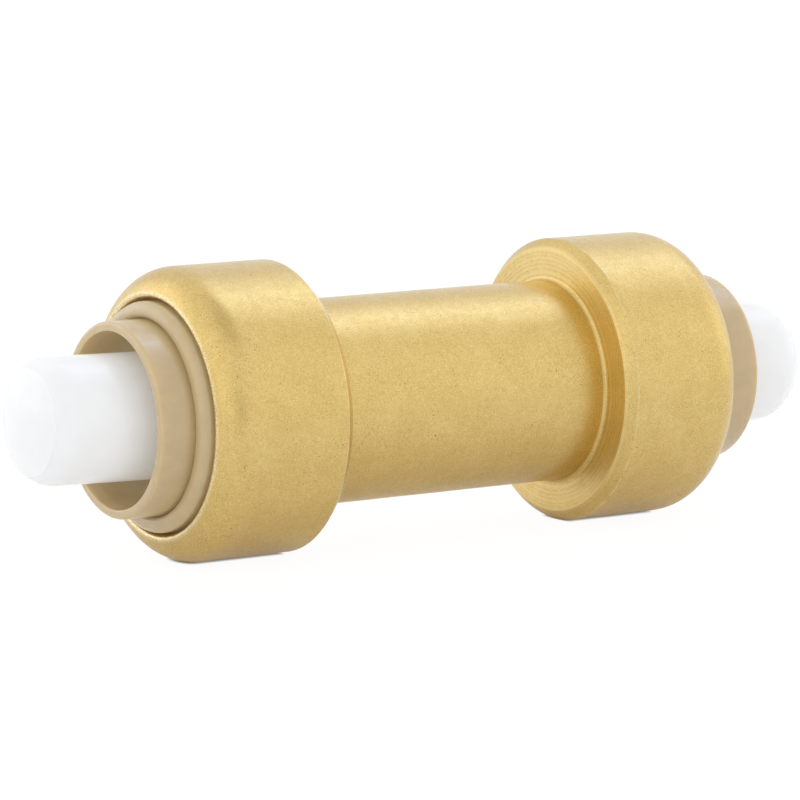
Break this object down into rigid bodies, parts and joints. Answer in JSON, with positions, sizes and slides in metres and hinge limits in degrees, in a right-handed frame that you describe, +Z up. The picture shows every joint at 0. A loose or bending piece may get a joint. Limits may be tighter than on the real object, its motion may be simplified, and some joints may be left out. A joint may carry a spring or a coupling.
{
  "type": "push fit coupling",
  "caption": "Brass push-fit slip coupling: plain barrel between bulb ends that hold seal, grab ring and release collar, with white shipping plugs in both mouths.",
  "frame": {"origin": "middle of the coupling, on the tube axis, which is also the middle of its box", "axes": "+X along the tube axis towards the right end; +Z up as the coupling lies on its two bulbs"},
  "size_m": [0.0878, 0.028, 0.028],
  "materials": {
    "brass": "satin, tumbled",
    "tan_plastic": "satin moulded acetal",
    "white_plastic": "soft gloss moulded polyethylene",
    "seal_rubber": "lubricated",
    "protector_plastic": "natural moulded acetal",
    "spring_steel": "stamped stainless"
  },
  "bodies": {
    "housing": {"brass_body": "brass", "left_o_ring": "seal_rubber", "left_seal_protector": "protector_plastic", "left_retainer": "tan_plastic", "right_o_ring": "seal_rubber", "right_seal_protector": "protector_plastic", "right_retainer": "tan_plastic"},
    "left_grip": {"left_grab_ring": "spring_steel"},
    "left_collar": {"left_release_collar": "tan_plastic"},
    "left_plug": {"left_end_plug": "white_plastic"},
    "right_grip": {"right_grab_ring": "spring_steel"},
    "right_collar": {"right_release_collar": "tan_plastic"},
    "right_plug": {"right_end_plug": "white_plastic"}
  },
  "joints": [
    {"name": "left_grab_ring_spin", "type": "hinge", "parent": "housing", "child": "left_grip", "pos_m": [-0.02375, 0, 0], "axis": [1, 0, 0], "continuous": true},
    {"name": "left_collar_slide", "type": "slide", "parent": "left_grip", "child": "left_collar", "axis": [1, 0, 0], "range_m": [-0.0007, 0.0012], "stiffness_N_per_m": 5000, "deforming": ["left_grab_ring"]},
    {"name": "left_plug_slide", "type": "slide", "parent": "housing", "child": "left_plug", "axis": [-1, 0, 0], "range_m": [0, 0.04]},
    {"name": "right_grab_ring_spin", "type": "hinge", "parent": "housing", "child": "right_grip", "pos_m": [0.02375, 0, 0], "axis": [1, 0, 0], "continuous": true},
    {"name": "right_collar_slide", "type": "slide", "parent": "right_grip", "child": "right_collar", "axis": [-1, 0, 0], "range_m": [0, 0.0019], "stiffness_N_per_m": 5000, "deforming": ["right_grab_ring"]},
    {"name": "right_plug_slide", "type": "slide", "parent": "housing", "child": "right_plug", "axis": [1, 0, 0], "range_m": [0, 0.04]}
  ]
}
